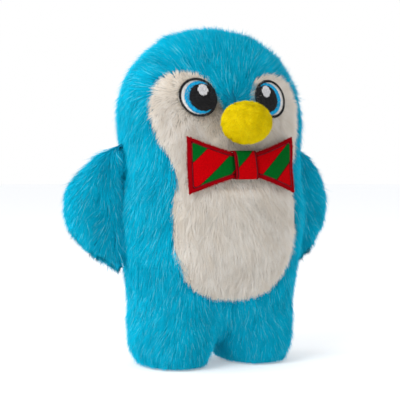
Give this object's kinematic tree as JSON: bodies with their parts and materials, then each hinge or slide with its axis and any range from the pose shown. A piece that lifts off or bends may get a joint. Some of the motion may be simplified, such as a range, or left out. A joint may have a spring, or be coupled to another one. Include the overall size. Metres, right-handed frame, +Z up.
{
  "type": "plush penguin",
  "caption": "Standing plush penguin of long-pile fabric with sewn flippers, stub legs, stuffed beak, embroidered eyes and a cloth bow tie.",
  "frame": {"origin": "on the floor under the middle of the whole toy's box", "axes": "+Z up along the toy's height, -Y the way the face looks, +X towards the toy's own left flipper"},
  "size_m": [0.2204, 0.1238, 0.25],
  "materials": {
    "blue_fur": "long soft pile, combed downwards",
    "white_fur": "long soft pile, combed downwards",
    "stuffing": "loose polyester fibre fill",
    "yellow_plush": "short dense pile",
    "thread_white": "satin-stitch embroidery",
    "thread_black": "satin-stitch embroidery",
    "thread_blue": "satin-stitch embroidery",
    "thread_pupil": "filled embroidery",
    "thread_shine": "filled embroidery",
    "bow_print": "brushed cloth printed with slanting red and green stripes",
    "bow_backing": "thin red cloth",
    "bow_thread": "dark red machine stitching"
  },
  "bodies": {
    "torso": {"white_front_panel": "white_fur", "right_front_panel": "blue_fur", "left_front_panel": "blue_fur", "back_panel": "blue_fur", "body_stuffing": "stuffing", "right_leg_cover": "blue_fur", "left_leg_cover": "blue_fur", "right_leg_stuffing": "stuffing", "left_leg_stuffing": "stuffing", "right_sole": "blue_fur", "left_sole": "blue_fur", "beak_cover": "yellow_plush", "beak_stuffing": "stuffing", "right_eye_white": "thread_white", "right_eye_outline": "thread_black", "right_eye_iris": "thread_blue", "right_eye_pupil": "thread_pupil", "right_eye_shine": "thread_shine", "left_eye_white": "thread_white", "left_eye_outline": "thread_black", "left_eye_iris": "thread_blue", "left_eye_pupil": "thread_pupil", "left_eye_shine": "thread_shine", "bow_knot_cloth": "bow_print", "bow_knot_backing": "bow_backing", "bow_knot_stitching": "bow_thread"},
    "right_flipper": {"right_flipper_front": "blue_fur", "right_flipper_back": "blue_fur", "right_flipper_stuffing": "stuffing"},
    "left_flipper": {"left_flipper_front": "blue_fur", "left_flipper_back": "blue_fur", "left_flipper_stuffing": "stuffing"},
    "right_bow_flap": {"bow_right_cloth": "bow_print", "bow_right_backing": "bow_backing", "bow_right_stitching": "bow_thread"},
    "left_bow_flap": {"bow_left_cloth": "bow_print", "bow_left_backing": "bow_backing", "bow_left_stitching": "bow_thread"}
  },
  "joints": [
    {"name": "right_flipper_swing", "type": "hinge", "parent": "torso", "child": "right_flipper", "pos_m": [-0.07396, 0.01228, 0.118], "axis": [0, 0, 1], "range_deg": [-15, 60], "stiffness_Nm_per_rad": 0.02},
    {"name": "left_flipper_swing", "type": "hinge", "parent": "torso", "child": "left_flipper", "pos_m": [0.07396, 0.01228, 0.118], "axis": [0, 0, -1], "range_deg": [-15, 60], "stiffness_Nm_per_rad": 0.02},
    {"name": "right_bow_flap_lift", "type": "hinge", "parent": "torso", "child": "right_bow_flap", "pos_m": [-0.0102, -0.0412, 0.148], "axis": [0, 0, 1], "range_deg": [0, 35], "stiffness_Nm_per_rad": 0.002},
    {"name": "left_bow_flap_lift", "type": "hinge", "parent": "torso", "child": "left_bow_flap", "pos_m": [0.0102, -0.0412, 0.148], "axis": [0, 0, -1], "range_deg": [0, 35], "stiffness_Nm_per_rad": 0.002}
  ]
}
